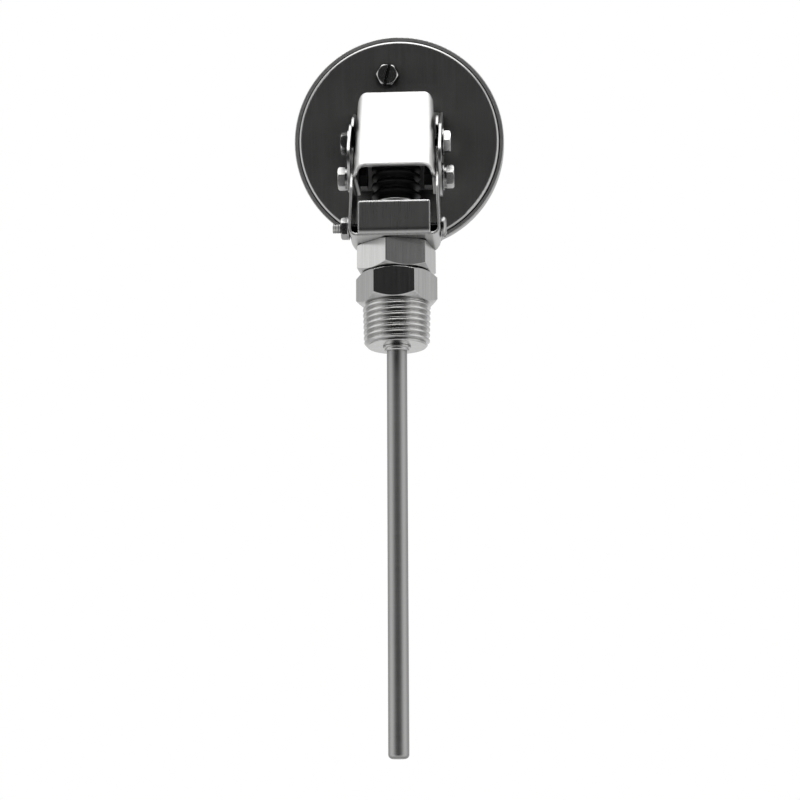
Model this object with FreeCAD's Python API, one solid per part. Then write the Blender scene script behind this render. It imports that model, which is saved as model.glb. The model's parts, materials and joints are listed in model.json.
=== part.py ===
import FreeCAD, Part
import math
import os

V = FreeCAD.Vector

# Adjustable-angle bimetal thermometer, in millimetres.
# Origin: on the stem axis, in the underside of the process hexagon. +Z runs up
# the stem towards the head, and the dial faces +Y.

# ---- process fitting and stem -------------------------------------------------
STEM_R = 3.175              # quarter-inch stem
STEM_UPPER_R = 3.0          # the stem inside the fitting, behind its shoulder
STEM_SHOULDER = -15.4
STEM_WALL = 0.5
THREAD_LENGTH = 13.6
STEM_BELOW_THREAD = 127.0   # five-inch stem
TIP_CAP_T = 1.6
TIP_PLUG_LENGTH = 3.2
HEX_FLATS = 22.2            # seven-eighths hexagons
FITTING_TOP = 9.7
HEX_GAP = 0.15
NECK_HEX_BOTTOM = FITTING_TOP + HEX_GAP
FITTING_TURN = -1.5         # degrees about Z, flat towards the front
NECK_HEX_TURN = 17.5
HEX_CHAMFER_TAN = math.tan(math.radians(30))
THREAD_PITCH = 1.814        # 14 threads per inch
THREAD_TAPER = 1.0 / 32.0   # radius per length of a 1:16 taper
THREAD_CREST_R = 10.65      # at the hexagon
THREAD_DEPTH = 1.25
THREAD_NECK_R = 10.0        # plain neck under the hexagon
RUN_GAP = 0.05              # radial clearance of running fits
FITTING_BORE_R = STEM_UPPER_R + RUN_GAP
STEM_END = -THREAD_LENGTH - STEM_BELOW_THREAD
STEM_TOP = 30.0
BORE_R = STEM_R - STEM_WALL

# ---- sensing parts inside the stem ----------------------------------------------
SPINDLE_R = 0.6
SPINDLE_TOP = 31.8
COIL_R = 2.1
COIL_HUB_R = 1.7
COIL_LOW = STEM_END + 4.6
COIL_HIGH = COIL_LOW + 62.0
BUSH_LENGTH = 3.0
DRIVE_COIL_R = 1.3
DRIVE_COIL_END = 16.8       # depth in the head's frame

# ---- yoke bracket ---------------------------------------------------------------
SHEET = 0.8
BASE_BOTTOM = 18.75
BASE_TOP = BASE_BOTTOM + SHEET
ARM_OUTER = 13.75           # outer face of the upright part of an arm
FOOT_OUTER = 14.35          # outer face where the arm meets the base
SPLAY_TOP = 34.0
YOKE_BEND_R = 2.6
YOKE_FRONT = -13.6
TAB_FRONT = -14.5
TAB_HALF = 11.2
TAB_TOP = 29.7
NOTCH_LOW = 49.05           # the arms' front notches
NOTCH_HIGH = 56.35
PLAN_CENTRE_Y = -4.0
PLAN_R = 14.6

# ---- pivot and lock -------------------------------------------------------------
PIVOT_Z = 53.55
LOCK_DROP = 11.7
LOCK_Z = PIVOT_Z - LOCK_DROP
SCREW_R = 2.0
SCREW_FLATS = 6.5
WASHER_R = 4.35
WASHER_T = 0.6
EAR_INNER = ARM_OUTER + 0.1
EAR_OUTER = EAR_INNER + SHEET
WASHER_X = EAR_OUTER + 0.06
NUT_T = 2.4

# ---- hood -----------------------------------------------------------------------
HOOD_LOW = V(0, -14.0, 41.57)
HOOD_LEAN = 21.0            # degrees from upright
HOOD_LENGTH = 29.86
HOOD_HALF_LOW = 12.75       # the hood narrows upwards
HOOD_HALF_HIGH = 11.95
HOOD_T = 1.05
HOOD_BEND_R = 3.0
HOOD_CORNER_R = 2.8         # the web's top and mouth corners
UNDER_HEAD_X = WASHER_X + WASHER_T
LOCK_HEAD_X = UNDER_HEAD_X + 0.75
PIVOT_NUT_X = 11.1          # outer faces of the nuts inside the hood
LOCK_NUT_X = 11.4

# ---- tie bolt -------------------------------------------------------------------
TIE_Y = -6.0
TIE_Z = 23.4
TIE_R = 1.5
TIE_END_X = -19.6
TIE_FLATS = 6.1
TIE_WALL_X = 14.22          # outer face of the arm at the bolt's height

# ---- bellows --------------------------------------------------------------------
BELLOWS_R = 7.8
BELLOWS_CORE_R = 4.6
BELLOWS_FOOT_Z = 31.0
BELLOWS_BEND_R = 16.0
CLAMP_R = 8.9
UPPER_CLAMP_R = 8.4
NECK_SLEEVE_R = 4.0
CLAMP_BORE_R = 7.6
CASE_NECK_R = 7.4
BELLOWS_END = 16.4          # depth in the head's frame

# ---- head, in its own frame: origin at the pivot, Y along the case axis ---------
REST_TILT = 15.0
CASE_RISE = 1.8             # case axis above the pivot
CASE_BACK = 18.5
CASE_R = 32.7
CASE_WALL = 0.8
CUP_FRONT = 31.0
BEZEL_R = 34.35
BEZEL_REAR = 20.5
BEZEL_FRONT = 35.0
EAR_R = 17.4
EAR_BOSS_R = 6.2
SLOT_END_R = SCREW_R + 0.1
SLOT_SWEEP = math.radians(61)   # the tilt's travel, with a little to spare
WINDOW_T = 2.4
GASKET_T = 0.6
DIAL_FACE = 26.1
DIAL_T = 0.5
DIAL_R = 31.0
POINTER_TIP = 24.5
POINTER_SHAFT_R = 0.75
POINTER_TOP = 28.6
POINTER_HUB_R = 2.1
BEARING_R = 3.2             # the bearing sleeve, where it passes the case back
DIAL_BORE_R = 3.0           # the bearing sleeve, where the dial turns on it
DIAL_SCREW_R = 0.8
DIAL_SCREW_X = 6.0
POINTER_REST = -59.4        # degrees clockwise from the top of the dial

# ---- calibration gear -----------------------------------------------------------
CAL_X = 3.3                 # left of the case axis, seen from the back
CAL_Z = 21.8                # above the case axis
CAL_R = math.hypot(CAL_X, CAL_Z)
GEAR_TEETH = 80
PINION_TEETH = 10
MODULE = 2 * CAL_R / (GEAR_TEETH + PINION_TEETH)
GEAR_LOW = 20.8
GEAR_HIGH = 22.0
CAL_SHAFT_R = 1.2
CAL_BUSH_R = 2.4
CAL_FLATS = 6.35

X_AXIS, Y_AXIS, Z_AXIS = V(1, 0, 0), V(0, 1, 0), V(0, 0, 1)


# ---- helpers --------------------------------------------------------------------
def face_of(points):
    return Part.Face(Part.makePolygon(list(points) + [points[0]]))


def rod(radius, start, end, axis=Z_AXIS, centre=V(0, 0, 0)):
    """A cylinder from start to end along an axis through centre."""
    return Part.makeCylinder(radius, end - start, centre + axis * start, axis)


def ring(outer, inner, start, end, axis=Z_AXIS, centre=V(0, 0, 0)):
    hole = rod(inner, start - 1, end + 1, axis, centre)
    return rod(outer, start, end, axis, centre).cut(hole)


def turned(points):
    """A solid of revolution about Z from (radius, height) points."""
    return face_of([V(r, 0, z) for r, z in points]).revolve(V(0, 0, 0), Z_AXIS, 360)


def turned_on_case(points):
    """A solid of revolution about the case axis from (radius, depth) points."""
    profile = face_of([V(r, y, CASE_RISE) for r, y in points])
    return profile.revolve(V(0, 0, CASE_RISE), Y_AXIS, 360)


def plate(points, low, high, axis):
    """A flat outline pushed from low to high along X, or along Y."""
    lift = axis * low
    return face_of([p + lift for p in points]).extrude(axis * (high - low))


def hexagon(flats, start, end, axis=Z_AXIS, centre=V(0, 0, 0), turn=0.0):
    """A hexagonal prism. At turn 0 a flat faces the second direction."""
    side = X_AXIS if axis != X_AXIS else Y_AXIS
    up = axis.cross(side)
    corner = flats / math.sqrt(3)
    angles = [math.radians(60 * k + turn) for k in range(6)]
    points = [centre + axis * start + side * corner * math.cos(a) + up * corner * math.sin(a)
              for a in angles]
    return face_of(points).extrude(axis * (end - start))


def both_sides(shape):
    """The shape and its mirror image across the YZ plane, as one compound."""
    return Part.makeCompound([shape, shape.mirror(V(0, 0, 0), X_AXIS)])


def place_head(shape):
    """Moves a shape from the head's own frame to its place at rest."""
    placed = shape.copy()
    placed.rotate(V(0, 0, 0), X_AXIS, REST_TILT)
    placed.translate(V(0, 0, PIVOT_Z))
    return placed


def on_head(y, z, x=0.0):
    """A point of the head's own frame, in the row frame at rest."""
    t = math.radians(REST_TILT)
    return V(x, y * math.cos(t) - z * math.sin(t), PIVOT_Z + y * math.sin(t) + z * math.cos(t))


def edges_at(shape, test):
    return [e for e in shape.Edges if test(e)]


# ---- process fitting ------------------------------------------------------------
def thread_points():
    """The (radius, height) outline of the thread's ridges, from the top down."""
    points = []
    z = -0.9
    while z - THREAD_PITCH > -THREAD_LENGTH:
        crest = THREAD_CREST_R + THREAD_TAPER * z
        points += [(crest - THREAD_DEPTH, z), (crest, z - 0.40 * THREAD_PITCH),
                   (crest, z - 0.60 * THREAD_PITCH)]
        z -= THREAD_PITCH
    end = THREAD_CREST_R - THREAD_TAPER * THREAD_LENGTH
    points += [(end - THREAD_DEPTH, z), (end - THREAD_DEPTH, -THREAD_LENGTH)]
    return points


def process_fitting():
    """The hexagon of the process fitting."""
    corner = HEX_FLATS / math.sqrt(3)
    flat = HEX_FLATS / 2 - 0.25
    rise = (corner - flat) * HEX_CHAMFER_TAN
    body = hexagon(HEX_FLATS, 0, FITTING_TOP, turn=FITTING_TURN)
    envelope = turned([(0, 0), (flat, 0), (corner, rise * 1.35), (corner, FITTING_TOP - rise),
                       (flat, FITTING_TOP), (0, FITTING_TOP)])
    return body.common(envelope).cut(rod(FITTING_BORE_R, -1, FITTING_TOP + 1))


def pipe_thread():
    """The threaded part of the process fitting, with ridges for its thread."""
    thread = turned([(0, 0), (THREAD_NECK_R, 0), (THREAD_NECK_R, -0.5)] + thread_points()
                    + [(0, -THREAD_LENGTH)])
    return thread.cut(rod(FITTING_BORE_R, -THREAD_LENGTH - 1, 1)).removeSplitter()


# ---- stem -----------------------------------------------------------------------
def stem_tube():
    low = STEM_END + TIP_CAP_T
    return turned([(BORE_R, low), (STEM_R, low), (STEM_R, STEM_SHOULDER),
                   (STEM_UPPER_R, STEM_SHOULDER), (STEM_UPPER_R, STEM_TOP), (BORE_R, STEM_TOP)])


def stem_tip_plug():
    cap = rod(STEM_R, STEM_END, STEM_END + TIP_CAP_T)
    cap = cap.makeFillet(1.3, edges_at(cap, lambda e: e.BoundBox.ZMax < STEM_END + 0.01))
    return cap.fuse(rod(BORE_R, STEM_END + TIP_CAP_T - 0.1, STEM_END + TIP_PLUG_LENGTH))


def stem_collar():
    """The two-step collar that keeps the fitting on the stem."""
    top = -THREAD_LENGTH - 0.1
    return turned([(STEM_UPPER_R, top), (4.4, top), (4.4, top - 0.5), (3.9, top - 0.7),
                   (3.9, top - 1.2), (3.6, top - 1.5), (STEM_UPPER_R, top - 1.5)])


def neck_hex():
    corner = HEX_FLATS / math.sqrt(3)
    flat = HEX_FLATS / 2 - 0.15
    rise = (corner - flat) * HEX_CHAMFER_TAN
    body = hexagon(HEX_FLATS, NECK_HEX_BOTTOM, BASE_BOTTOM, turn=NECK_HEX_TURN)
    envelope = turned([(0, NECK_HEX_BOTTOM), (flat - 0.3, NECK_HEX_BOTTOM),
                       (corner, NECK_HEX_BOTTOM + rise * 1.2), (corner, BASE_BOTTOM - rise * 0.4),
                       (flat + 0.9, BASE_BOTTOM), (0, BASE_BOTTOM)])
    return body.common(envelope).cut(rod(STEM_UPPER_R, 0, BASE_BOTTOM + 1))


# ---- yoke -----------------------------------------------------------------------
def yoke_channel(offset, bend):
    """The solid inside a U outline, offset inwards from the yoke's outer face."""
    arm, foot, bottom = ARM_OUTER - offset, FOOT_OUTER - offset, BASE_BOTTOM + offset
    top = PIVOT_Z + 30
    outline = [V(-arm, 0, top), V(-arm, 0, SPLAY_TOP), V(-foot, 0, bottom), V(foot, 0, bottom),
               V(arm, 0, SPLAY_TOP), V(arm, 0, top)]
    solid = plate(outline, YOKE_FRONT - 1, 12, Y_AXIS)
    corners = edges_at(solid, lambda e: e.BoundBox.ZMax < bottom + 0.01 and e.BoundBox.XLength < 0.01)
    return solid.makeFillet(bend, corners)


def yoke_side_outline():
    """The arms seen from the side: upright foot, leaning shank, round top."""
    boss = 8.6
    start, end = math.radians(-5), math.radians(163)
    arc = [V(0, boss * math.cos(a), PIVOT_Z + boss * math.sin(a))
           for a in [start + (end - start) * k / 24 for k in range(25)]]
    points = [V(0, YOKE_FRONT, BASE_BOTTOM - 1), V(0, 12, BASE_BOTTOM - 1), V(0, 12, 21.2),
              V(0, 1.0, 24.5), V(0, 8.4, 42.0)] + arc
    points += [V(0, -8.8, 48.0), V(0, -10.2, 40.5), V(0, YOKE_FRONT, 35.0)]
    return plate(points, -20, 20, X_AXIS)


def yoke_bracket():
    sheet = yoke_channel(0, YOKE_BEND_R).cut(yoke_channel(SHEET, YOKE_BEND_R - SHEET))
    sheet = sheet.common(yoke_side_outline())
    behind = Part.makeBox(40, 20, 5, V(-20, PLAN_CENTRE_Y, BASE_BOTTOM - 1))
    sheet = sheet.cut(behind.cut(rod(PLAN_R, 0, 40, centre=V(0, PLAN_CENTRE_Y, 0))))
    # front tab, with its bend
    bend = 2.2
    tab = Part.makeBox(2 * TAB_HALF, 6, TAB_TOP - BASE_BOTTOM, V(-TAB_HALF, TAB_FRONT, BASE_BOTTOM))
    outer_bend = edges_at(tab, lambda e: e.BoundBox.YMax < TAB_FRONT + 0.01
                          and e.BoundBox.ZMax < BASE_BOTTOM + 0.01)
    tab = tab.makeFillet(bend, outer_bend)
    top_corners = edges_at(tab, lambda e: e.BoundBox.ZMin > TAB_TOP - 0.01 and e.BoundBox.YLength > 5)
    tab = tab.makeFillet(0.6, top_corners)
    inner = Part.makeBox(2 * TAB_HALF + 2, 8, 20, V(-TAB_HALF - 1, TAB_FRONT + SHEET, BASE_TOP))
    inner_bend = edges_at(inner, lambda e: e.BoundBox.YMax < TAB_FRONT + SHEET + 0.01
                          and e.BoundBox.ZMax < BASE_TOP + 0.01)
    inner = inner.makeFillet(bend - SHEET, inner_bend)
    tab = tab.cut(inner)
    sheet = sheet.fuse(tab)
    # open notches in the arms' front edges, level with the pivot
    notch = Part.makeBox(60, 12, NOTCH_HIGH - NOTCH_LOW, V(-30, -15.2, NOTCH_LOW))
    holes = [notch, rod(STEM_UPPER_R, 0, 40),
             rod(SCREW_R + RUN_GAP, -30, 30, X_AXIS, V(0, 0, PIVOT_Z)),
             rod(SCREW_R + RUN_GAP, -30, 30, X_AXIS, V(0, 0, LOCK_Z)),
             rod(TIE_R + RUN_GAP, -30, 30, X_AXIS, V(0, TIE_Y, TIE_Z))]
    for hole in holes:
        sheet = sheet.cut(hole)
    return sheet.removeSplitter()


# ---- hood -----------------------------------------------------------------------
def hood_front(offset, low, high, near, far):
    """The hood's tapering front, offset inwards and pushed from near to far along Y."""
    def half(along):
        return HOOD_HALF_LOW + (HOOD_HALF_HIGH - HOOD_HALF_LOW) * along / HOOD_LENGTH - offset

    outline = [V(-half(low), 0, low), V(half(low), 0, low),
               V(half(high), 0, high), V(-half(high), 0, high)]
    return plate(outline, near, far, Y_AXIS)


def hood_channel(offset, bend):
    """The solid inside the hood's channel, offset inwards from its outer face."""
    solid = hood_front(offset, -25, 45, offset, 40)
    corners = edges_at(solid, lambda e: e.BoundBox.YMax < offset + 0.01 and e.BoundBox.ZLength > 50)
    return solid.makeFillet(bend, corners)


def hood_cover():
    sheet = hood_channel(0, HOOD_BEND_R).cut(hood_channel(HOOD_T, HOOD_BEND_R - HOOD_T))
    # the web stops above the flanges' lower ends, with rounded inner corners
    mouth_half = HOOD_HALF_LOW - HOOD_T - 0.15
    mouth = Part.makeBox(2 * mouth_half, 8, 30, V(-mouth_half, -2, -30))
    mouth = mouth.makeFillet(HOOD_CORNER_R, edges_at(mouth, lambda e: e.BoundBox.ZMin > -0.01
                                           and e.BoundBox.YLength > 7))
    sheet = sheet.cut(mouth)
    front = hood_front(0, -25, HOOD_LENGTH, -5, 55)
    front = front.makeFillet(HOOD_CORNER_R, edges_at(front, lambda e: e.BoundBox.ZMin > HOOD_LENGTH - 0.01
                                                     and e.BoundBox.YLength > 50))
    sheet = sheet.common(front)
    sheet.rotate(V(0, 0, 0), X_AXIS, -HOOD_LEAN)
    sheet.translate(HOOD_LOW)
    lean = math.radians(HOOD_LEAN)
    crown = HOOD_LOW + V(0, math.sin(lean), math.cos(lean)) * HOOD_LENGTH
    outline = [V(0, HOOD_LOW.y - 4, HOOD_LOW.z - 2.2), V(0, HOOD_LOW.y, HOOD_LOW.z - 3.0),
               V(0, -11.4, 37.7), V(0, 4.5, 37.7), V(0, 6.6, 40.0),
               V(0, 8.0, 50.0), V(0, 8.0, 58.0), V(0, 3.5, 66.8), V(0, 0.5, crown.z + 0.4),
               V(0, crown.y - 6, crown.z + 2)]
    sheet = sheet.common(plate(outline, -20, 20, X_AXIS))
    for height in (PIVOT_Z, LOCK_Z):
        sheet = sheet.cut(rod(SCREW_R + RUN_GAP, -30, 30, X_AXIS, V(0, 0, height)))
    return sheet.removeSplitter()


# ---- pivot and lock fasteners ---------------------------------------------------
def hex_screw(height, head_from, head_t, turn, end):
    """One hex-head screw along +X at a height on the pivot's column, back to its end."""
    centre = V(0, 0, height)
    head = hexagon(SCREW_FLATS, head_from, head_from + head_t, X_AXIS, centre, turn)
    corner = SCREW_FLATS / math.sqrt(3)
    dome = rod(corner, head_from, head_from + head_t, X_AXIS, centre)
    dome = dome.makeFillet(0.75, edges_at(dome, lambda e: e.BoundBox.XMin > head_from + head_t - 0.01))
    return head.common(dome).fuse(rod(SCREW_R, end, head_from + 0.2, X_AXIS, centre))


def pivot_screws():
    right = hex_screw(PIVOT_Z, UNDER_HEAD_X, 2.2, 11.0, PIVOT_NUT_X - NUT_T)
    left = hex_screw(PIVOT_Z, UNDER_HEAD_X, 2.2, -25.0, PIVOT_NUT_X - NUT_T)
    return Part.makeCompound([right, left.mirror(V(0, 0, 0), X_AXIS)])


def lock_screws():
    return both_sides(hex_screw(LOCK_Z, LOCK_HEAD_X, 2.4, -3.0, LOCK_NUT_X - NUT_T))


def washers(height):
    """The flat washers on both ears at one height."""
    return both_sides(ring(WASHER_R, SCREW_R, WASHER_X, UNDER_HEAD_X, X_AXIS, V(0, 0, height)))


def pivot_washers():
    return washers(PIVOT_Z)


def lock_washers():
    return washers(LOCK_Z)


def lock_spring_washers():
    """Split spring washers under the lock screws' heads."""
    centre = V(0, 0, LOCK_Z)
    washer = ring(3.7, SCREW_R, UNDER_HEAD_X, LOCK_HEAD_X, X_AXIS, centre)
    gap = Part.makeBox(4, 4, 0.5, V(UNDER_HEAD_X - 1, -4.5, LOCK_Z - 0.25))
    return both_sides(washer.cut(gap))


def inner_nuts():
    nuts = []
    for height, face in ((PIVOT_Z, PIVOT_NUT_X), (LOCK_Z, LOCK_NUT_X)):
        centre = V(0, 0, height)
        nut = hexagon(SCREW_FLATS, face - NUT_T, face, X_AXIS, centre)
        nuts.append(nut.cut(rod(SCREW_R, 0, 20, X_AXIS, centre)))
    return Part.makeCompound([both_sides(nut) for nut in nuts])


# ---- tie bolt -------------------------------------------------------------------
def tie_bolt():
    """A screw through both arms, with a threaded end past its nut."""
    centre = V(0, TIE_Y, TIE_Z)
    shank = rod(TIE_R - 0.12, TIE_END_X + 0.4, TIE_WALL_X + 0.3, X_AXIS, centre)
    x = TIE_END_X
    while x < -TIE_WALL_X - 3.0:
        ridge = Part.makeCone(TIE_R - 0.12, TIE_R, 0.25, centre + V(x, 0, 0), X_AXIS)
        back = Part.makeCone(TIE_R, TIE_R - 0.12, 0.25, centre + V(x + 0.25, 0, 0), X_AXIS)
        shank = shank.fuse([ridge, back])
        x += 0.5
    head = rod(3.4, TIE_WALL_X + 0.25, TIE_WALL_X + 1.75, X_AXIS, centre)
    head = head.makeFillet(1.1, edges_at(head, lambda e: e.BoundBox.XMin > TIE_WALL_X + 1.7))
    slot = Part.makeBox(2, 0.8, 9, V(TIE_WALL_X + 1.05, TIE_Y - 0.4, TIE_Z - 4.5))
    return shank.fuse(head).cut(slot)


def tie_nut():
    centre = V(0, TIE_Y, TIE_Z)
    start = -TIE_WALL_X - 2.75
    nut = hexagon(TIE_FLATS, start, start + 2.1, X_AXIS, centre, turn=-13.5)
    corner = TIE_FLATS / math.sqrt(3)
    dome = rod(corner, start, start + 2.1, X_AXIS, centre)
    dome = dome.makeFillet(0.6, edges_at(dome, lambda e: e.BoundBox.XMax < start + 0.01))
    return nut.common(dome).cut(rod(TIE_R, -30, 0, X_AXIS, centre))


def tie_washer():
    return ring(3.6, TIE_R, -TIE_WALL_X - 0.65, -TIE_WALL_X - 0.2, X_AXIS, V(0, TIE_Y, TIE_Z))


# ---- neck and bellows -----------------------------------------------------------
def neck_collar():
    return turned([(STEM_UPPER_R, BASE_TOP), (NECK_SLEEVE_R, BASE_TOP), (NECK_SLEEVE_R, 26.6),
                   (CLAMP_BORE_R, 28.2), (CLAMP_BORE_R, BELLOWS_FOOT_Z),
                   (STEM_UPPER_R, BELLOWS_FOOT_Z)])


def lower_bellows_clamp():
    clamp = ring(CLAMP_R, CLAMP_BORE_R, 28.6, BELLOWS_FOOT_Z)
    lip = ring(CLAMP_R, BELLOWS_R + RUN_GAP, BELLOWS_FOOT_Z, 32.5)
    clamp = clamp.fuse(lip).removeSplitter()
    return clamp.makeFillet(0.35, edges_at(clamp, lambda e: e.BoundBox.XLength > 2 * CLAMP_R - 0.1
                                           and e.Length > 6 * CLAMP_R))


def elbow(radius, start, end_u):
    """A round bar from the stem axis, bent round on to the case axis."""
    tilt = math.radians(REST_TILT)
    corner_u = CASE_RISE * math.tan(tilt)
    corner = on_head(corner_u, CASE_RISE)
    turn = math.pi / 2 - tilt
    tangent = BELLOWS_BEND_R * math.tan(turn / 2)
    low = V(0, 0, start)
    bend_in = corner - V(0, 0, tangent)
    bend_out = on_head(corner_u + tangent, CASE_RISE)
    centre = bend_in + V(0, BELLOWS_BEND_R, 0)
    mid_angle = math.pi - turn / 2
    middle = centre + V(0, math.cos(mid_angle), math.sin(mid_angle)) * BELLOWS_BEND_R
    high = on_head(end_u, CASE_RISE)
    path = Part.Wire([Part.LineSegment(low, bend_in).toShape(),
                      Part.Arc(bend_in, middle, bend_out).toShape(),
                      Part.LineSegment(bend_out, high).toShape()])
    section = Part.Wire([Part.makeCircle(radius, low, Z_AXIS)])
    return path.makePipeShell([section], True, False)


def bellows():
    outer = elbow(BELLOWS_R, BELLOWS_FOOT_Z, BELLOWS_END)
    return outer.cut(elbow(BELLOWS_CORE_R, BELLOWS_FOOT_Z, BELLOWS_END))


def flex_drive_coil():
    return elbow(DRIVE_COIL_R, SPINDLE_TOP + 0.2, DRIVE_COIL_END)


def case_neck():
    """The short tube on the case back that carries the bellows' upper end."""
    return turned_on_case([(BEARING_R, BELLOWS_END), (CASE_NECK_R, BELLOWS_END),
                           (CASE_NECK_R, CASE_BACK), (BEARING_R, CASE_BACK)])


def upper_bellows_clamp():
    return turned_on_case([(CASE_NECK_R, BELLOWS_END), (7.85, BELLOWS_END), (7.85, 15.6),
                           (UPPER_CLAMP_R, 15.6), (UPPER_CLAMP_R, 18.1), (CASE_NECK_R, 18.1)])


# ---- sensing parts --------------------------------------------------------------
def coil_anchor():
    return rod(0.9, STEM_END + TIP_PLUG_LENGTH, COIL_LOW + 1.5)


def bimetal_coil():
    """The helix, close-wound, as a thin sleeve."""
    return ring(COIL_R, COIL_HUB_R + RUN_GAP, COIL_LOW, COIL_HIGH)


def coil_hub():
    return ring(COIL_HUB_R, SPINDLE_R, COIL_HIGH - 3.0, COIL_HIGH - 0.2)


def spindle_rod():
    return rod(SPINDLE_R, COIL_LOW + 3.0, SPINDLE_TOP)


def spindle_bush(low):
    return ring(BORE_R, SPINDLE_R + RUN_GAP, low, low + BUSH_LENGTH)


def lower_spindle_bush():
    return spindle_bush(COIL_HIGH + 4.0)


def upper_spindle_bush():
    return spindle_bush(STEM_TOP - BUSH_LENGTH)


# ---- case -----------------------------------------------------------------------
def case_cup():
    inner_r = CASE_R - CASE_WALL
    edge = 0.9
    outside = turned_on_case([(0, CASE_BACK), (CASE_R, CASE_BACK), (CASE_R, CUP_FRONT), (0, CUP_FRONT)])
    outside = outside.makeFillet(edge, edges_at(outside, lambda e: e.BoundBox.YMax < CASE_BACK + 0.01))
    floor = CASE_BACK + CASE_WALL
    hollow = turned_on_case([(0, floor), (inner_r, floor), (inner_r, CUP_FRONT + 1),
                             (0, CUP_FRONT + 1)])
    cup = outside.cut(hollow)
    cup = cup.cut(rod(BEARING_R, 0, 25, Y_AXIS, V(0, 0, CASE_RISE)))
    return cup.cut(rod(CAL_BUSH_R, 0, 25, Y_AXIS, calibration_centre()))


def bezel_ring():
    bead = 0.3
    groove_r = CASE_R + 0.4
    ring_solid = turned_on_case([
        (groove_r, BEZEL_REAR), (BEZEL_R, BEZEL_REAR), (BEZEL_R, BEZEL_FRONT),
        (30.2, BEZEL_FRONT), (30.2, CUP_FRONT + GASKET_T + WINDOW_T),
        (CASE_R, CUP_FRONT + GASKET_T + WINDOW_T), (CASE_R, BEZEL_REAR + 1.4),
        (groove_r, BEZEL_REAR + 1.1)])
    outer = edges_at(ring_solid, lambda e: e.BoundBox.XLength > 2 * BEZEL_R - 0.01)
    return ring_solid.makeFillet(bead, outer)


def window_gasket():
    low = CUP_FRONT
    return turned_on_case([(30.6, low), (CASE_R, low), (CASE_R, low + GASKET_T), (30.6, low + GASKET_T)])


def window():
    low = CUP_FRONT + GASKET_T
    disc = rod(CASE_R - 0.1, low, low + WINDOW_T, Y_AXIS, V(0, 0, CASE_RISE))
    return disc.makeFillet(0.3, disc.Edges[:1])


def ear_point(radius, angle, lift=0.0):
    """A point of an ear's slot line, at an angle from straight down, lifted square to it."""
    return V(0, -radius * math.sin(angle) - lift * math.cos(angle),
             -radius * math.cos(angle) + lift * math.sin(angle))


def slot_wedge(low, high):
    """The part of the ear's plane that the slot sweeps, pushed along X."""
    fan = [ear_point(40, SLOT_SWEEP * k / 4) for k in range(5)]
    return plate([V(0, 0, 0)] + fan, low, high, X_AXIS)


def ear_outline():
    """One ear in the head's frame, pushed along X: boss, slot sector and shank."""
    end_r = EAR_R - LOCK_DROP
    sector = rod(EAR_R, EAR_INNER, EAR_OUTER, X_AXIS).common(slot_wedge(EAR_INNER, EAR_OUTER))
    ends = [rod(end_r, EAR_INNER, EAR_OUTER, X_AXIS, ear_point(LOCK_DROP, angle))
            for angle in (0, SLOT_SWEEP)]
    brow = plate([V(0, 0, 0), ear_point(0, SLOT_SWEEP, EAR_BOSS_R),
                  ear_point(LOCK_DROP, SLOT_SWEEP, end_r), ear_point(LOCK_DROP, SLOT_SWEEP)],
                 EAR_INNER, EAR_OUTER, X_AXIS)
    shank = plate([V(0, -2, -15.0), V(0, 2, -16.6), V(0, CASE_BACK - 1.2, -14.0),
                   V(0, CASE_BACK - 1.2, 11.0), V(0, 1.2, 6.0), V(0, -1.2, 6.0)],
                  EAR_INNER, EAR_OUTER, X_AXIS)
    boss = rod(EAR_BOSS_R, EAR_INNER, EAR_OUTER, X_AXIS)
    return boss.fuse([sector, brow, shank] + ends).removeSplitter()


def curved_slot():
    """The ear's slot about the pivot, with round ends."""
    low, high = EAR_INNER - 1, EAR_OUTER + 1
    outer = rod(LOCK_DROP + SLOT_END_R, low, high, X_AXIS)
    inner = rod(LOCK_DROP - SLOT_END_R, low - 1, high + 1, X_AXIS)
    ends = [rod(SLOT_END_R, low, high, X_AXIS, ear_point(LOCK_DROP, angle))
            for angle in (0, SLOT_SWEEP)]
    return outer.cut(inner).common(slot_wedge(low, high)).fuse(ends)


def head_bracket():
    ear = ear_outline().cut(curved_slot())
    ear = ear.cut(rod(SCREW_R + RUN_GAP, 0, 30, X_AXIS))
    ears = ear.fuse(ear.mirror(V(0, 0, 0), X_AXIS))
    back = Part.makeBox(2 * EAR_OUTER, 1.2, 25.0, V(-EAR_OUTER, CASE_BACK - 1.2, -14.0))
    back = back.makeFillet(2.0, edges_at(back, lambda e: e.BoundBox.YLength > 1.1))
    back = back.cut(rod(UPPER_CLAMP_R + 0.6, 10, 30, Y_AXIS, V(0, 0, CASE_RISE)))
    return ears.fuse(back).removeSplitter()


# ---- dial, pointer and calibration ----------------------------------------------
def pointer_bearing():
    """The sleeve in the case back that the pointer shaft and the dial turn on."""
    return turned_on_case([(POINTER_SHAFT_R + RUN_GAP, CASE_BACK - 1.5),
                           (BEARING_R, CASE_BACK - 1.5), (BEARING_R, 19.3), (4.4, 19.3),
                           (4.4, GEAR_LOW - 0.4), (DIAL_BORE_R, GEAR_LOW - 0.4),
                           (DIAL_BORE_R, 26.6), (POINTER_SHAFT_R + RUN_GAP, 26.6)])


def pointer_shaft():
    return rod(POINTER_SHAFT_R, DRIVE_COIL_END + 0.1, POINTER_TOP, Y_AXIS, V(0, 0, CASE_RISE))


def pointer_hub():
    centre = V(0, 0, CASE_RISE)
    cap = ring(POINTER_HUB_R, POINTER_SHAFT_R, 27.2, POINTER_TOP, Y_AXIS, centre)
    return cap.fuse(rod(POINTER_HUB_R, POINTER_TOP, POINTER_TOP + 0.4, Y_AXIS, centre)).removeSplitter()


def aimed(shape):
    """Turns a shape drawn pointing up to the pointer's rest angle."""
    shape.rotate(V(0, 0, CASE_RISE), Y_AXIS, -POINTER_REST)
    return shape


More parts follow.
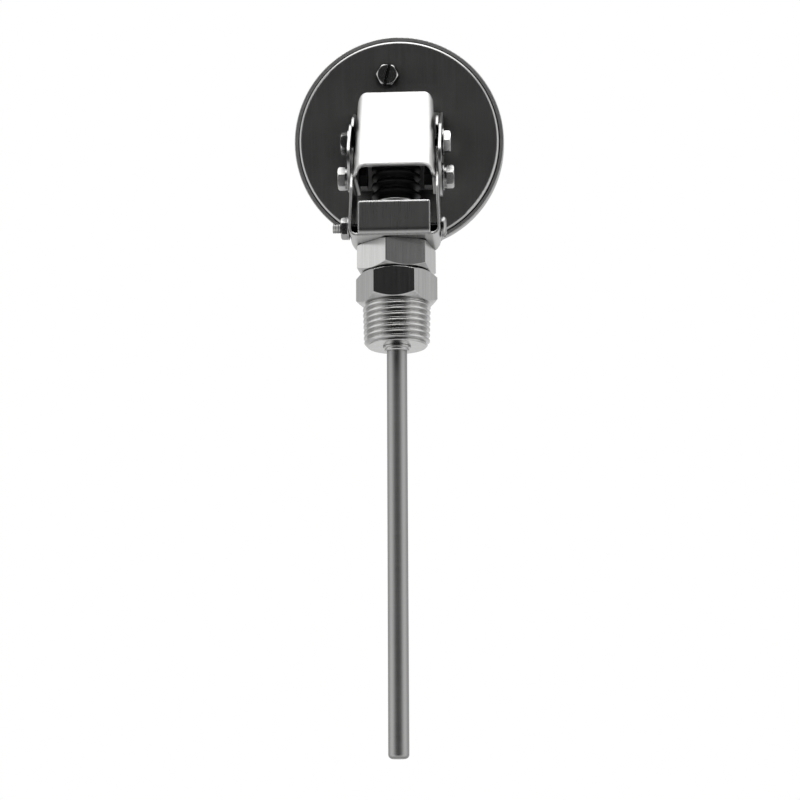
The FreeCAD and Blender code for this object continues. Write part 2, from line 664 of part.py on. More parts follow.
def pointer():
    z = CASE_RISE
    outline = [V(-0.9, 0, z), V(-0.12, 0, z + POINTER_TIP), V(0.12, 0, z + POINTER_TIP),
               V(0.9, 0, z), V(1.3, 0, z - 8.5), V(-1.3, 0, z - 8.5)]
    blade = plate(outline, 27.4, 27.8, Y_AXIS)
    disc = rod(3.0, 27.4, 27.8, Y_AXIS, V(0, 0, z))
    hole = rod(POINTER_HUB_R, 27, 29, Y_AXIS, V(0, 0, z))
    return aimed(blade.fuse(disc).cut(hole).removeSplitter())


def dial_plate():
    disc = rod(DIAL_R, DIAL_FACE - DIAL_T, DIAL_FACE, Y_AXIS, V(0, 0, CASE_RISE))
    disc = disc.cut(rod(DIAL_BORE_R + RUN_GAP, 20, 30, Y_AXIS, V(0, 0, CASE_RISE)))
    for side in (-1, 1):
        centre = V(side * DIAL_SCREW_X, 0, CASE_RISE)
        disc = disc.cut(rod(DIAL_SCREW_R, 20, 30, Y_AXIS, centre))
    return disc


def dial_screws():
    screws = []
    for side in (-1, 1):
        centre = V(side * DIAL_SCREW_X, 0, CASE_RISE)
        shank = rod(DIAL_SCREW_R, 22.6, DIAL_FACE, Y_AXIS, centre)
        screws.append(shank.fuse(rod(1.5, DIAL_FACE, DIAL_FACE + 0.6, Y_AXIS, centre)))
    return Part.makeCompound(screws)


def tooth(radius, pitch_angle, height, centre, angle, low, high, share):
    """One straight-sided gear tooth standing on a blank, about a Y axis."""
    root, tip = radius - 1.25 * height, radius + 0.8 * height
    half_root, half_tip = share * pitch_angle * 0.62, share * pitch_angle * 0.30
    corners = [(root - 0.3, -half_root), (root - 0.3, half_root), (tip, half_tip), (tip, -half_tip)]
    points = [V(centre.x + r * math.sin(angle + a), 0, centre.z + r * math.cos(angle + a))
              for r, a in corners]
    return plate(points, low, high, Y_AXIS)


def calibration_centre():
    return V(-CAL_X, 0, CASE_RISE + CAL_Z)


def dial_gear():
    """Hub, arm and toothed sector that carry the dial."""
    centre = V(0, 0, CASE_RISE)
    towards = math.atan2(-CAL_X, CAL_Z)
    pitch_r = MODULE * GEAR_TEETH / 2
    pitch_angle = 2 * math.pi / GEAR_TEETH
    root = pitch_r - 1.25 * MODULE
    blank = ring(root, root - 2.6, GEAR_LOW, GEAR_HIGH, Y_AXIS, centre)
    half = math.radians(32)
    wedge = [V(0, 0, CASE_RISE)] + [V(40 * math.sin(towards + a), 0, CASE_RISE + 40 * math.cos(towards + a))
                                    for a in (-half, 0, half)]
    blank = blank.common(plate(wedge, 15, 30, Y_AXIS))
    arm = plate([V(-3, 0, CASE_RISE), V(3, 0, CASE_RISE), V(2.2, 0, CASE_RISE + root - 1.3),
                 V(-2.2, 0, CASE_RISE + root - 1.3)], GEAR_LOW, GEAR_HIGH, Y_AXIS)
    arm.rotate(centre, Y_AXIS, math.degrees(towards))
    hub = rod(8.2, GEAR_LOW, DIAL_FACE - DIAL_T, Y_AXIS, centre)
    gear = blank.fuse([arm, hub])
    count = int(half / pitch_angle) - 1
    for k in range(-count, count + 1):
        angle = towards + (k + 0.5) * pitch_angle
        gear = gear.fuse(tooth(pitch_r, pitch_angle, MODULE, centre, angle, GEAR_LOW, GEAR_HIGH, 0.5))
    gear = gear.cut(rod(DIAL_BORE_R + RUN_GAP, 15, 30, Y_AXIS, centre))
    for side in (-1, 1):
        gear = gear.cut(rod(DIAL_SCREW_R, 22.4, 30, Y_AXIS, V(side * DIAL_SCREW_X, 0, CASE_RISE)))
    return gear.removeSplitter()


def calibration_pinion():
    centre = calibration_centre()
    towards = math.atan2(CAL_X, -CAL_Z)
    pitch_r = MODULE * PINION_TEETH / 2
    pitch_angle = 2 * math.pi / PINION_TEETH
    gear = rod(pitch_r - 1.25 * MODULE, GEAR_LOW, GEAR_HIGH, Y_AXIS, centre)
    for k in range(PINION_TEETH):
        angle = towards + k * pitch_angle
        gear = gear.fuse(tooth(pitch_r, pitch_angle, MODULE, centre, angle, GEAR_LOW, GEAR_HIGH, 0.42))
    return gear.cut(rod(CAL_SHAFT_R, 15, 30, Y_AXIS, centre)).removeSplitter()


def calibration_bush():
    centre = calibration_centre()
    bore = CAL_SHAFT_R + RUN_GAP
    flange = ring(2.9, bore, CASE_BACK - 0.35, CASE_BACK, Y_AXIS, centre)
    return flange.fuse(ring(CAL_BUSH_R, bore, CASE_BACK, 20.2, Y_AXIS, centre)).removeSplitter()


def calibration_screw():
    """Slotted hex head outside the case back, on a shaft to the pinion."""
    centre = calibration_centre()
    low, high = CASE_BACK - 2.3, CASE_BACK - 0.45
    head = hexagon(CAL_FLATS, low, high, Y_AXIS, centre, turn=4.0)
    dome = rod(CAL_FLATS / math.sqrt(3), low, high, Y_AXIS, centre)
    dome = dome.makeFillet(0.85, edges_at(dome, lambda e: e.BoundBox.YMax < low + 0.01))
    slot = Part.makeBox(1.0, 0.9, 9.0, V(centre.x - 0.5, low - 0.1, centre.z - 4.5))
    slot.rotate(centre, Y_AXIS, 15.0)
    shaft = rod(CAL_SHAFT_R, high - 0.2, GEAR_HIGH, Y_AXIS, centre)
    return head.common(dome).cut(slot).fuse(shaft)


# ---- the assembly ---------------------------------------------------------------
STEM_PARTS = [
    process_fitting, pipe_thread, stem_tube, stem_tip_plug, stem_collar, neck_hex, yoke_bracket,
    hood_cover, pivot_screws, pivot_washers, lock_screws, lock_washers, lock_spring_washers,
    inner_nuts, tie_bolt, tie_nut, tie_washer, neck_collar, lower_bellows_clamp, bellows, flex_drive_coil,
    coil_anchor, bimetal_coil, coil_hub, spindle_rod, lower_spindle_bush, upper_spindle_bush,
]
HEAD_PARTS = [
    case_cup, bezel_ring, window_gasket, window, head_bracket, case_neck, upper_bellows_clamp,
    pointer_bearing, calibration_bush, pointer_shaft, pointer_hub, pointer, dial_plate, dial_gear,
    dial_screws, calibration_screw, calibration_pinion,
]


def main():
    os.makedirs("parts", exist_ok=True)
    for make in STEM_PARTS:
        make().exportStep("parts/%s.step" % make.__name__)
    for make in HEAD_PARTS:
        place_head(make()).exportStep("parts/%s.step" % make.__name__)


main()
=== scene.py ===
import json
import math

import bpy
from mathutils import Matrix, Vector


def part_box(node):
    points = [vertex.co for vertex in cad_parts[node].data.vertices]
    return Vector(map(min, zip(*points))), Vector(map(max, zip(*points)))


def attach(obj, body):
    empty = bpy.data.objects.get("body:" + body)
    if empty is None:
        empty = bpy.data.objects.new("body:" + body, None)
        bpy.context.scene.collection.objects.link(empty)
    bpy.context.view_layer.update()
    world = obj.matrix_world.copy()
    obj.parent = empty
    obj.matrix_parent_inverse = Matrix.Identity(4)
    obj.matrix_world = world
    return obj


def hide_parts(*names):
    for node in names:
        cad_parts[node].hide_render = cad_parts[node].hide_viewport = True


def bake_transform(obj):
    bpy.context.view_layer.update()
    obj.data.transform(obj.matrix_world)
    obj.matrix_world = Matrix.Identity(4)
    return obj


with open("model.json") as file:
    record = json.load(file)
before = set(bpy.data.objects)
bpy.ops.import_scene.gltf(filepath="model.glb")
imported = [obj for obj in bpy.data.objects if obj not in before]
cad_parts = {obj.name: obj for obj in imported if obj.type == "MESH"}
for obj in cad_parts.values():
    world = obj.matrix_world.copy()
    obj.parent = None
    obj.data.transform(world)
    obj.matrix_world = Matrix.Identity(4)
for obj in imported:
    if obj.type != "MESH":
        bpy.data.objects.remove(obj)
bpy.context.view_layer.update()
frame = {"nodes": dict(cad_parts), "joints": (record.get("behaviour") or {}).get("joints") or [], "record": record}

# Dial thermometer, in metres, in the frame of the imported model: +Z up the stem,
# +Y the way the dial faces, +X across the tilt pivot.

MM = 0.001
NODES = frame["nodes"]
JOINTS = {joint["name"]: joint for joint in frame["joints"]}

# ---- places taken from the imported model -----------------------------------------
PIVOT = Vector(JOINTS["head_tilt"]["pos_m"])
DIAL_CENTRE = Vector(JOINTS["pointer_turn"]["pos_m"])
CASE_AXIS = -Vector(JOINTS["pointer_turn"]["axis"]).normalized()
CASE_UP = Vector((1, 0, 0)).cross(CASE_AXIS).normalized()
READER_RIGHT = Vector((-1, 0, 0))       # of somebody reading the dial

THREAD_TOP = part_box("pipe_thread")[1].z
THREAD_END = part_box("pipe_thread")[0].z
THREAD_PITCH = 25.4 * MM / 14
THREAD_TAPER = 1 / 32
THREAD_CREST_R = 10.65 * MM
THREAD_DEPTH = 1.35 * MM
THREAD_STEEPNESS = 1.35         # above 1, the crests are flat
LEAD_IN = (1.5 * MM, 0.9)       # how far the chamfer cuts in at the thread's end, and its slope
RUN_OUT = (1.3 * MM, 1.2)       # the same at the hexagon

BELLOWS_R = 7.8 * MM
BELLOWS_ROOT_R = 6.1 * MM
BELLOWS_PITCH = 3.15 * MM
BELLOWS_BEND_R = 16 * MM

COIL_R = 1.0 * MM
COIL_WIRE_R = 0.28 * MM
COIL_PITCH = 0.62 * MM

# how wide a bevel each node's sharp edges get
EDGE_WIDTHS = {
    "yoke_bracket": 0.25 * MM,
    "hood_cover": 0.35 * MM,
    "head_bracket": 0.25 * MM,
    "neck_hex": 0.20 * MM,
    "process_fitting": 0.16 * MM,
    "pivot_screws": 0.15 * MM,
    "lock_screws": 0.15 * MM,
    "inner_nuts": 0.15 * MM,
    "tie_nut": 0.15 * MM,
    "pivot_washers": 0.10 * MM,
    "lock_washers": 0.10 * MM,
    "tie_washer": 0.08 * MM,
    "calibration_screw": 0.10 * MM,
}

SCALE_SWEEP = 270
SCALE_TOP = 250
SCALE_R = 28.2 * MM
SCALE_LINE = 0.22 * MM
INK_LOW, INK_HIGH = -0.02 * MM, 0.04 * MM
INK_MIDDLE = 0.02 * MM
# for every so many degrees F, a tick's length and width
TICKS = ((50, 4.0 * MM, 0.55 * MM), (10, 2.9 * MM, 0.32 * MM), (2, 1.6 * MM, 0.16 * MM))

# The studio's brightness changes along one part of a direction. Each row has where the
# change begins and ends, and the brightness at those two places.
FRONT_WALL = (0.42, 0.93, 1.0, 0.015)   # along -Y, behind the camera
BACK_FALL = (0.0, 0.42, 1.0, 0.52)      # along +Y, before the dial
BACK_RISE = (0.65, 1.0, 0.0, 0.24)      # along +Y, added to it
GROUND = (0.5, 0.95, 1.0, 0.65)         # along -Z
SHELF = (0.25, 0.55, 1.0, 0.70)         # along +Z
CEILING = (0.66, 0.84, 0.0, 1.4)        # along +Z, added to all the rest

# angles in degrees
CAMERA_AZIMUTH, CAMERA_ELEVATION, CAMERA_ROLL = 2.9, -13.0, -0.28
CAMERA_DISTANCE = 682 * MM
CAMERA_LENS = 99.0
CAMERA_AIM_Z = -30.55 * MM
CAMERA_ASIDE = 0.87 * MM


# ---- meshes -----------------------------------------------------------------------
def piece(name, vertices, faces, smooth=True):
    """A new mesh object in the scene."""
    mesh = bpy.data.meshes.new(name)
    mesh.from_pydata([tuple(v) for v in vertices], [], faces)
    mesh.polygons.foreach_set("use_smooth", [smooth] * len(mesh.polygons))
    mesh.update()
    obj = bpy.data.objects.new(name, mesh)
    bpy.context.scene.collection.objects.link(obj)
    return obj


def grid_faces(rows, columns):
    """Quads between closed rings of points, one ring after another."""
    faces = []
    for i in range(rows - 1):
        for j in range(columns):
            a, b = i * columns + j, i * columns + (j + 1) % columns
            faces.append((a, b, b + columns, a + columns))
    return faces


def tube_faces(rows, columns):
    """Grid faces with a cap at each end."""
    last = (rows - 1) * columns
    caps = [tuple(reversed(range(columns))), tuple(range(last, last + columns))]
    return grid_faces(rows, columns) + caps


def swept(name, path, radius_at, columns):
    """Rings round a path of (point, direction, distance), with a radius for each distance."""
    vertices = []
    for point, direction, distance in path:
        side = Vector((1, 0, 0))
        other = direction.cross(side)
        r = radius_at(distance)
        for j in range(columns):
            a = 2 * math.pi * j / columns
            vertices.append(point + side * r * math.cos(a) + other * r * math.sin(a))
    return piece(name, vertices, tube_faces(len(path), columns))


def elbow_path(start_z, end_depth, step):
    """Points from the stem axis round a bend on to the case axis, evenly spaced."""
    along = -DIAL_CENTRE.y / CASE_AXIS.y
    corner = DIAL_CENTRE + CASE_AXIS * along
    turn = Vector((0, 0, 1)).angle(CASE_AXIS)
    tangent = BELLOWS_BEND_R * math.tan(turn / 2)
    straight = corner.z - tangent - start_z
    arc = BELLOWS_BEND_R * turn
    centre = Vector((0, BELLOWS_BEND_R, corner.z - tangent))
    end = PIVOT + CASE_AXIS * end_depth
    run_out = (end - (corner + CASE_AXIS * tangent)).dot(CASE_AXIS)
    length = straight + arc + run_out
    count = max(2, round(length / step))
    path = []
    for k in range(count + 1):
        s = length * k / count
        if s < straight:
            point, direction = Vector((0, 0, start_z + s)), Vector((0, 0, 1))
        elif s < straight + arc:
            a = (s - straight) / BELLOWS_BEND_R
            direction = Vector((0, math.sin(a), math.cos(a)))
            point = centre + Vector((0, -math.cos(a), math.sin(a))) * BELLOWS_BEND_R
        else:
            direction = CASE_AXIS
            point = corner + CASE_AXIS * (tangent + s - straight - arc)
        path.append((point, direction, s))
    return path, length


# ---- materials ----------------------------------------------------------------------
def material(name):
    """A new material, its node tree and its shader."""
    mat = bpy.data.materials.new(name)
    mat.use_nodes = True
    tree = mat.node_tree
    return mat, tree, tree.nodes["Principled BSDF"]


def noise(tree, scale, detail=2.0, rough=0.5):
    """A noise with its own scale along each axis of the object, in waves per metre."""
    coordinates = tree.nodes.new("ShaderNodeTexCoord")
    mapping = tree.nodes.new("ShaderNodeMapping")
    mapping.inputs["Scale"].default_value = scale
    texture = tree.nodes.new("ShaderNodeTexNoise")
    texture.inputs["Scale"].default_value = 1.0
    texture.inputs["Detail"].default_value = detail
    texture.inputs["Roughness"].default_value = rough
    tree.links.new(coordinates.outputs["Object"], mapping.inputs["Vector"])
    tree.links.new(mapping.outputs["Vector"], texture.inputs["Vector"])
    return texture.outputs["Fac"]


def map_range(tree, value, limits, curve="SMOOTHSTEP"):
    """Maps a value by limits of (from min, from max, to min, to max)."""
    node = tree.nodes.new("ShaderNodeMapRange")
    node.interpolation_type = curve
    for socket, number in zip(("From Min", "From Max", "To Min", "To Max"), limits):
        node.inputs[socket].default_value = number
    tree.links.new(value, node.inputs["Value"])
    return node.outputs["Result"]


def combine(tree, operation, a, b):
    """A maths node on two sockets or numbers."""
    node = tree.nodes.new("ShaderNodeMath")
    node.operation = operation
    for socket, value in zip(node.inputs, (a, b)):
        if isinstance(value, (int, float)):
            socket.default_value = value
        else:
            tree.links.new(value, socket)
    return node.outputs[0]


def spread(tree, value, low, high):
    """Maps a noise's middle range on to low to high."""
    return map_range(tree, value, (0.3, 0.7, low, high), "LINEAR")


def vary(tree, value, bsdf, roughness):
    """A roughness that varies by a tenth each way."""
    result = spread(tree, value, roughness * 0.9, roughness * 1.1)
    tree.links.new(result, bsdf.inputs["Roughness"])


def tint(tree, value, dark, light):
    """Mixes two colours by a value."""
    node = tree.nodes.new("ShaderNodeMix")
    node.data_type = "RGBA"
    node.inputs["A"].default_value = (*dark, 1)
    node.inputs["B"].default_value = (*light, 1)
    tree.links.new(value, node.inputs["Factor"])
    return node.outputs["Result"]


def bump(tree, value, bsdf, height, edge_r=0.0):
    """Fine relief, and edges shaded as if they were rounded by edge_r."""
    node = tree.nodes.new("ShaderNodeBump")
    node.inputs["Distance"].default_value = height
    tree.links.new(value, node.inputs["Height"])
    if edge_r > 0:
        edge = tree.nodes.new("ShaderNodeBevel")
        edge.samples = 6
        edge.inputs["Radius"].default_value = edge_r
        tree.links.new(edge.outputs["Normal"], node.inputs["Normal"])
    tree.links.new(node.outputs["Normal"], bsdf.inputs["Normal"])


def recess_shade(tree, colour, darkest, reach):
    """Darkens a colour in corners and pockets by ambient occlusion, as painted shade."""
    corner = tree.nodes.new("ShaderNodeAmbientOcclusion")
    corner.samples = 8
    corner.inputs["Distance"].default_value = reach
    shade = tree.nodes.new("ShaderNodeMix")
    shade.data_type = "RGBA"
    shade.inputs["A"].default_value = (0, 0, 0, 1)
    tree.links.new(map_range(tree, corner.outputs["AO"], (0.35, 0.85, darkest, 1.0)),
                   shade.inputs["Factor"])
    tree.links.new(colour, shade.inputs["B"])
    return shade.outputs["Result"]


def steel(name, grey, roughness, streaks, contrast=0.06, relief=0.002 * MM, darkest=1.0,
          reach=10 * MM, edge_r=0.0):
    """Stainless steel, brushed across the axis along which its streaks change fastest.

    Painted shade darkens its recesses to a share of its colour, within a reach, where darkest is under 1.
    """
    mat, tree, bsdf = material(name)
    bsdf.inputs["Metallic"].default_value = 1.0
    grain = noise(tree, streaks, detail=3.0, rough=0.6)
    cloud = noise(tree, (90, 90, 90), detail=2.0)
    value = combine(tree, "ADD", combine(tree, "MULTIPLY", grain, 0.8),
                    combine(tree, "MULTIPLY", cloud, 0.2))
    dark, light = grey * (1 - contrast), min(1.0, grey * (1 + contrast))
    colour = tint(tree, spread(tree, value, 0, 1), (dark, dark, dark * 0.99),
                  (light, light, light * 0.99))
    if darkest < 1:
        colour = recess_shade(tree, colour, darkest, reach)
    tree.links.new(colour, bsdf.inputs["Base Color"])
    vary(tree, value, bsdf, roughness)
    bump(tree, value, bsdf, relief, edge_r)
    return mat


def rubber(name):
    mat, tree, bsdf = material(name)
    grain = noise(tree, (2500, 2500, 2500), detail=3.0)
    tree.links.new(tint(tree, grain, (0.007, 0.007, 0.007), (0.013, 0.013, 0.013)),
                   bsdf.inputs["Base Color"])
    tree.links.new(spread(tree, grain, 0.40, 0.54), bsdf.inputs["Roughness"])
    bsdf.inputs["Specular IOR Level"].default_value = 0.28
    bump(tree, grain, bsdf, 0.01 * MM)
    return mat


def enamel(name, dark, light, roughness):
    mat, tree, bsdf = material(name)
    grain = noise(tree, (400, 400, 400), detail=3.0)
    tree.links.new(tint(tree, grain, dark, light), bsdf.inputs["Base Color"])
    vary(tree, grain, bsdf, roughness)
    return mat


def brass(name):
    mat, tree, bsdf = material(name)
    bsdf.inputs["Metallic"].default_value = 1.0
    grain = noise(tree, (1500, 1500, 1500), detail=2.0)
    tree.links.new(tint(tree, grain, (0.66, 0.48, 0.22), (0.78, 0.60, 0.30)),
                   bsdf.inputs["Base Color"])
    tree.links.new(spread(tree, grain, 0.22, 0.34), bsdf.inputs["Roughness"])
    return mat


def clear_glass(name):
    mat, tree, bsdf = material(name)
    bsdf.inputs["Base Color"].default_value = (0.96, 0.98, 0.98, 1)
    bsdf.inputs["Transmission Weight"].default_value = 1.0
    bsdf.inputs["IOR"].default_value = 1.5
    smudge = noise(tree, (60, 60, 60), detail=2.0)
    tree.links.new(spread(tree, smudge, 0.0, 0.03), bsdf.inputs["Roughness"])
    return mat


# streaks: waves per metre along X, Y and Z
UPRIGHT = (3600, 60, 60)       # brushed up and down, so it changes along X
AROUND = (120, 120, 5200)      # turned about the stem, so it changes along Z
MACHINED = (1100, 1100, 35)
FINE = (1800, 1800, 1800)
# relief heights
SMOOTH = 0.0003 * MM
SATIN = 0.0008 * MM

SLOT_MATERIALS = {
    "machined_steel": steel("MachinedSteel", 0.66, 0.22, MACHINED, 0.09),
    "stem_steel": steel("StemSteel", 0.45, 0.42, AROUND, 0.04),
    "brushed_sheet": steel("BrushedSheet", 0.62, 0.29, UPRIGHT, 0.02, SMOOTH),
    "polished_sheet": steel("PolishedSheet", 0.74, 0.40, UPRIGHT, 0.02, SMOOTH, edge_r=1.8 * MM),
    # painted shade in the case's recesses
    "brushed_case": steel("BrushedCase", 0.60, 0.34, UPRIGHT, 0.04, SATIN, 0.08, 26 * MM),
    "ring_steel": steel("RingSteel", 0.62, 0.50, FINE, 0.03, SATIN),
    # painted shade in the fasteners' recesses
    "fastener_steel": steel("FastenerSteel", 0.66, 0.25, FINE, 0.04, darkest=0.03),
    # a very dark steel, with painted shade in its recesses
    "dark_steel": steel("DarkSteel", 0.06, 0.35, FINE, darkest=0.20),
    "spring_steel": steel("SpringSteel", 0.50, 0.28, FINE, 0.05),
    "bearing_brass": brass("BearingBrass"),
    "black_rubber": rubber("BlackRubber"),
    "gasket_rubber": rubber("GasketRubber"),
    "window_glass": clear_glass("WindowGlass"),
    "dial_white": enamel("DialEnamel", (0.92, 0.92, 0.90), (0.96, 0.96, 0.94), 0.35),
    "pointer_black": enamel("PointerEnamel", (0.012, 0.012, 0.012), (0.022, 0.022, 0.022), 0.45),
}
# nodes with more painted shade in their recesses than the rest of their slot
NODE_MATERIALS = {
    "yoke_bracket": steel("RecessShadedSheet", 0.62, 0.29, UPRIGHT, 0.02, SMOOTH, 0.03, 22 * MM, 0.9 * MM),
    "tie_bolt": steel("BoltSteel", 0.50, 0.22, FINE, 0.04, darkest=0.02, reach=30 * MM),
}


def finish_nodes():
    """Gives every CAD node its own material or its slot's, and softens the sharp ones."""
    slot_of = {part["node"]: part["material_slot"] for part in frame["record"]["subparts"]}
    for name, obj in NODES.items():
        obj.data.materials.clear()
        obj.data.materials.append(NODE_MATERIALS.get(name) or SLOT_MATERIALS[slot_of[name]])
    for name, width in EDGE_WIDTHS.items():
        soften(NODES[name], width)


def soften(obj, width):
    """Breaks the sharp edges of a CAD node, so that they catch the light."""
    weld = obj.modifiers.new("weld", "WELD")
    weld.merge_threshold = 0.001 * MM
    bevel = obj.modifiers.new("edges", "BEVEL")
    bevel.width = width
    bevel.segments = 3
    bevel.limit_method = "ANGLE"
    bevel.angle_limit = math.radians(35)
    normals = obj.modifiers.new("normals", "WEIGHTED_NORMAL")
    normals.weight = 90


def dress(obj, slot, body, *replaced):
    """The material slot, the body and the CAD nodes that a new piece stands for."""
    obj.data.materials.append(SLOT_MATERIALS[slot])
    if body:
        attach(obj, body)
    if replaced:
        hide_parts(*replaced)
    return obj


# ---- pipe thread ----------------------------------------------------------------------
def thread_radius(angle, z):
    """A right-hand taper thread with flat crests, chamfered at its end."""
    crest = THREAD_CREST_R + THREAD_TAPER * z
    phase = (z / THREAD_PITCH - angle / (2 * math.pi)) % 1.0
    away = abs(phase - 0.5) * 2
    ridge = min(1.0, (1 - away) * THREAD_STEEPNESS)
    radius = crest - THREAD_DEPTH * (1 - ridge)
    lead_in = THREAD_CREST_R - LEAD_IN[0] + (z - THREAD_END) * LEAD_IN[1]
    run_out = THREAD_CREST_R - RUN_OUT[0] + (THREAD_TOP - z) * RUN_OUT[1]
    return min(radius, max(lead_in, crest - THREAD_DEPTH * 1.02), max(run_out, crest - THREAD_DEPTH))


def pipe_thread():
    """The helix, closed by a bore and two flat ends."""
    columns, rows = 128, 240
    vertices = []
    for i in range(rows + 1):
        z = THREAD_TOP + (THREAD_END - THREAD_TOP) * i / rows
        for j in range(columns):
            angle = -2 * math.pi * j / columns
            r = thread_radius(angle, z)
            vertices.append((r * math.cos(angle), r * math.sin(angle), z))
    faces = grid_faces(rows + 1, columns)
    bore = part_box("stem_tube")[1].x + 0.05 * MM
    for z in (THREAD_END, THREAD_TOP):
        for j in range(columns):
            angle = -2 * math.pi * j / columns
            vertices.append((bore * math.cos(angle), bore * math.sin(angle), z))
    low, high = (rows + 1) * columns, (rows + 2) * columns
    last = rows * columns
    for j in range(columns):
        k = (j + 1) % columns
        faces.append((last + j, last + k, low + k, low + j))
        faces.append((low + j, low + k, high + k, high + j))
        faces.append((high + j, high + k, k, j))
    thread = piece("pipe_thread_helix", vertices, faces)
    thread.data.polygons.foreach_set(
        "use_smooth", [abs(p.normal.z) < 0.999 for p in thread.data.polygons])
    return dress(thread, "machined_steel", "fitting", "pipe_thread")


# ---- bellows and drive coil -----------------------------------------------------------
def bellows_radius(distance, length, folds):
    """Rounded folds: full crests and narrower roots."""
    wave = math.cos(2 * math.pi * (distance / length * folds - 0.5))
    crest = (0.5 + 0.5 * wave) ** 0.75
    return BELLOWS_ROOT_R + (BELLOWS_R - BELLOWS_ROOT_R) * crest


def end_depth(node):
    """How far a head node reaches back along the case axis, from the pivot."""
    return min((v.co - PIVOT).dot(CASE_AXIS) for v in NODES[node].data.vertices)


def blended(obj):
    """Bakes the transform of a piece between the stem and the head into its mesh."""
    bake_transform(obj)


def bellows():
    """The folded rubber boot, from the stem's collar to the case's neck."""
    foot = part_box("bellows")[0].z
    path, length = elbow_path(foot, end_depth("case_neck") - 0.02 * MM, 0.22 * MM)
    folds = round(length / BELLOWS_PITCH)
    obj = swept("bellows_boot", path, lambda s: bellows_radius(s, length, folds), 72)
    dress(obj, "black_rubber", None, "bellows")
    blended(obj)


def drive_coil():
    """The close-wound coil that turns the pointer round the bend."""
    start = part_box("flex_drive_coil")[0].z
    path, length = elbow_path(start, end_depth("pointer_shaft"), 0.08 * MM)
    turns, columns = round(length / COIL_PITCH), 8
    vertices = []
    for point, direction, s in path:
        side = Vector((1, 0, 0))
        other = direction.cross(side)
        a = 2 * math.pi * turns * s / length
        out = side * math.cos(a) + other * math.sin(a)
        for j in range(columns):
            b = 2 * math.pi * j / columns
            vertices.append(point + out * (COIL_R + COIL_WIRE_R * math.cos(b))
                            + direction * COIL_WIRE_R * math.sin(b))
    obj = piece("drive_coil", vertices, tube_faces(len(path), columns))
    dress(obj, "spring_steel", None, "flex_drive_coil")
    blended(obj)


# ---- dial markings ----------------------------------------------------------------------
def dial_point(radius, degrees, lift):
    """A point on the dial, clockwise from the top as its reader sees it."""
    a = math.radians(degrees)
    return (DIAL_CENTRE + CASE_AXIS * lift
            + (READER_RIGHT * math.sin(a) + CASE_UP * math.cos(a)) * radius)


def block(outline, low, high, vertices, faces):
    """Adds a thin raised block over an outline of (radius, degrees) corners."""
    first, n = len(vertices), len(outline)
    for lift in (low, high):
        vertices.extend(dial_point(r, a, lift) for r, a in outline)
    faces.append(tuple(reversed(range(first, first + n))))
    faces.append(tuple(range(first + n, first + 2 * n)))
    for k in range(n):
        m = (k + 1) % n
        faces.append((first + k, first + m, first + n + m, first + n + k))


def scale_angle(value):
    """Degrees clockwise from the top, for a reading in degrees F."""
    return SCALE_SWEEP * (value / SCALE_TOP - 0.5)


def dial_scale():
    """Ticks every 2 degrees F, under a fine arc."""
    vertices, faces = [], []
    for value in range(0, SCALE_TOP + 1, 2):
        length, width = next(tick[1:] for tick in TICKS if value % tick[0] == 0)
        half = math.degrees(width / 2 / SCALE_R)
        a = scale_angle(value)
        corners = [(SCALE_R, a - half), (SCALE_R, a + half),
                   (SCALE_R - length, a + half), (SCALE_R - length, a - half)]
        block(corners, INK_LOW, INK_HIGH, vertices, faces)
    steps = 180
    for k in range(steps):
        a, b = (scale_angle(SCALE_TOP * i / steps) for i in (k, k + 1))
        corners = [(SCALE_R + SCALE_LINE, a), (SCALE_R + SCALE_LINE, b), (SCALE_R, b), (SCALE_R, a)]
        block(corners, INK_LOW, INK_HIGH, vertices, faces)
    return dress(piece("dial_scale", vertices, faces, smooth=False), "pointer_black", "dial_unit")


def dial_text(name, words, size, radius, degrees):
    """Raised figures, upright on the dial."""
    curve = bpy.data.curves.new(name, "FONT")
    curve.body = words
    curve.size = size
    curve.align_x = curve.align_y = "CENTER"
    curve.extrude = INK_MIDDLE
    obj = bpy.data.objects.new(name, curve)
    bpy.context.scene.collection.objects.link(obj)
    turn = Matrix((READER_RIGHT, CASE_UP, CASE_AXIS)).transposed().to_4x4()
    obj.matrix_world = Matrix.Translation(dial_point(radius, degrees, INK_MIDDLE)) @ turn
    dress(obj, "pointer_black", "dial_unit")


def dial_figures():
    for value in range(0, SCALE_TOP + 1, 50):
        dial_text("figure_%d" % value, str(value), 4.2 * MM, 20.3 * MM, scale_angle(value))
    dial_text("figure_unit", "°F", 4.6 * MM, 11.5 * MM, 180)


# ---- studio -------------------------------------------------------------------------------
def studio_world():
    """A white studio with a dark wall behind the camera and a bright ceiling.

    The camera sees plain white, and everything else sees the levels.
    """
    world = bpy.data.worlds.new("Studio")
    bpy.context.scene.world = world
    world.use_nodes = True
    tree = world.node_tree
    background = tree.nodes["Background"]
    background.inputs["Color"].default_value = (1, 1, 1, 1)
    coordinates = tree.nodes.new("ShaderNodeTexCoord")
    split = tree.nodes.new("ShaderNodeSeparateXYZ")
    tree.links.new(coordinates.outputs["Generated"], split.inputs[0])
    y, z = split.outputs["Y"], split.outputs["Z"]
    front = combine(tree, "MULTIPLY", y, -1.0)
    down = combine(tree, "MULTIPLY", z, -1.0)
    back = combine(tree, "ADD", map_range(tree, y, BACK_FALL), map_range(tree, y, BACK_RISE))
    level = combine(tree, "MULTIPLY", map_range(tree, front, FRONT_WALL), back)
    level = combine(tree, "MULTIPLY", level, map_range(tree, down, GROUND))
    level = combine(tree, "MULTIPLY", level, map_range(tree, z, SHELF))
    level = combine(tree, "ADD", level, map_range(tree, z, CEILING))
    ray = tree.nodes.new("ShaderNodeLightPath")
    choose = tree.nodes.new("ShaderNodeMix")
    tree.links.new(ray.outputs["Is Camera Ray"], choose.inputs["Factor"])
    tree.links.new(level, choose.inputs["A"])
    choose.inputs["B"].default_value = 1.0
    tree.links.new(choose.outputs["Result"], background.inputs["Strength"])


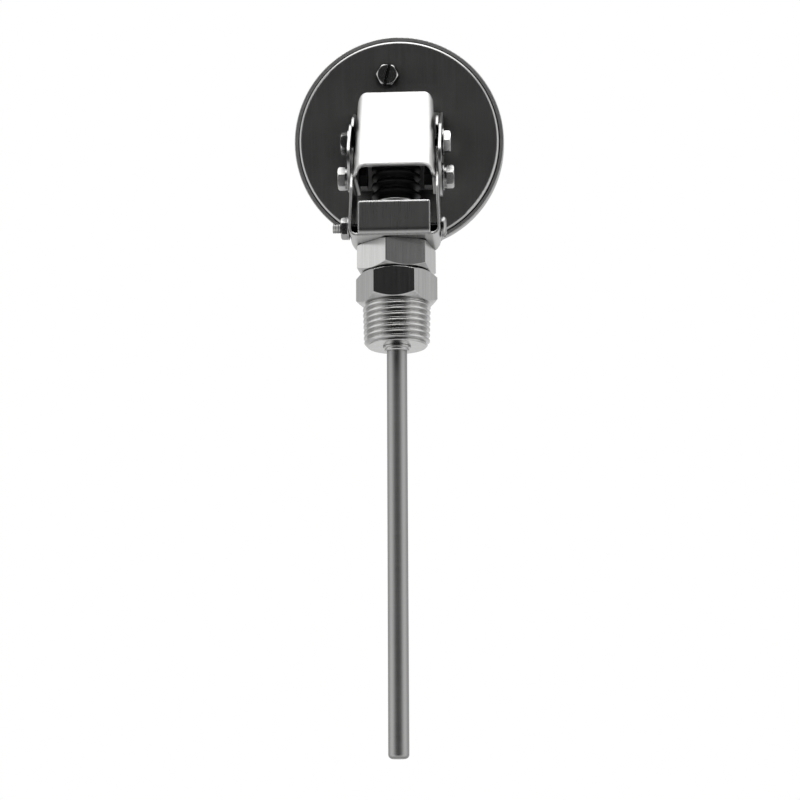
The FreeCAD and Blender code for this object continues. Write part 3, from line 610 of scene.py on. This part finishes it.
def softbox(name, place, aim, width, height, power):
    """A soft light at a place, aimed at another."""
    data = bpy.data.lights.new(name, "AREA")
    data.shape = "RECTANGLE"
    data.size, data.size_y, data.energy = width, height, power
    obj = bpy.data.objects.new(name, data)
    obj.location = place
    obj.rotation_euler = (Vector(aim) - Vector(place)).to_track_quat("-Z", "Y").to_euler()
    obj.visible_camera = False
    bpy.context.scene.collection.objects.link(obj)


def studio():
    """The world, one soft light, and a pale floor well below the stem."""
    studio_world()
    softbox("softbox_top", (0, -0.60, 0.95), (0, 0, 40 * MM), 0.7, 0.5, 1.6)
    floor_z, half = -0.45, 4.0
    corners = [(-half, -half, floor_z), (half, -half, floor_z), (half, half, floor_z),
               (-half, half, floor_z)]
    floor = piece("floor", corners, [(0, 1, 2, 3)])
    floor.data.materials.append(enamel("PaleFloor", (0.80, 0.80, 0.80), (0.83, 0.83, 0.83), 0.6))
    floor.visible_glossy = False
    bpy.context.scene.view_settings.view_transform = "Standard"


def camera():
    """Below and slightly right of the case's back, looking up at it."""
    azimuth, elevation = math.radians(CAMERA_AZIMUTH), math.radians(CAMERA_ELEVATION)
    roll = Matrix.Rotation(math.radians(CAMERA_ROLL), 4, "Z")
    forward = Vector((-math.sin(azimuth) * math.cos(elevation),
                      math.cos(azimuth) * math.cos(elevation), -math.sin(elevation)))
    right = Vector((math.cos(azimuth), math.sin(azimuth), 0))
    data = bpy.data.cameras.new("Camera")
    data.lens, data.sensor_width = CAMERA_LENS, 36.0
    data.clip_start, data.clip_end = 0.01, 50
    obj = bpy.data.objects.new("Camera", data)
    place = Vector((0, 0, CAMERA_AIM_Z)) + right * CAMERA_ASIDE - forward * CAMERA_DISTANCE
    turned = forward.to_track_quat("-Z", "Y").to_matrix().to_4x4() @ roll
    obj.matrix_world = Matrix.Translation(place) @ turned
    bpy.context.scene.collection.objects.link(obj)
    bpy.context.scene.camera = obj


finish_nodes()
pipe_thread()
bellows()
drive_coil()
dial_scale()
dial_figures()
studio()
camera()
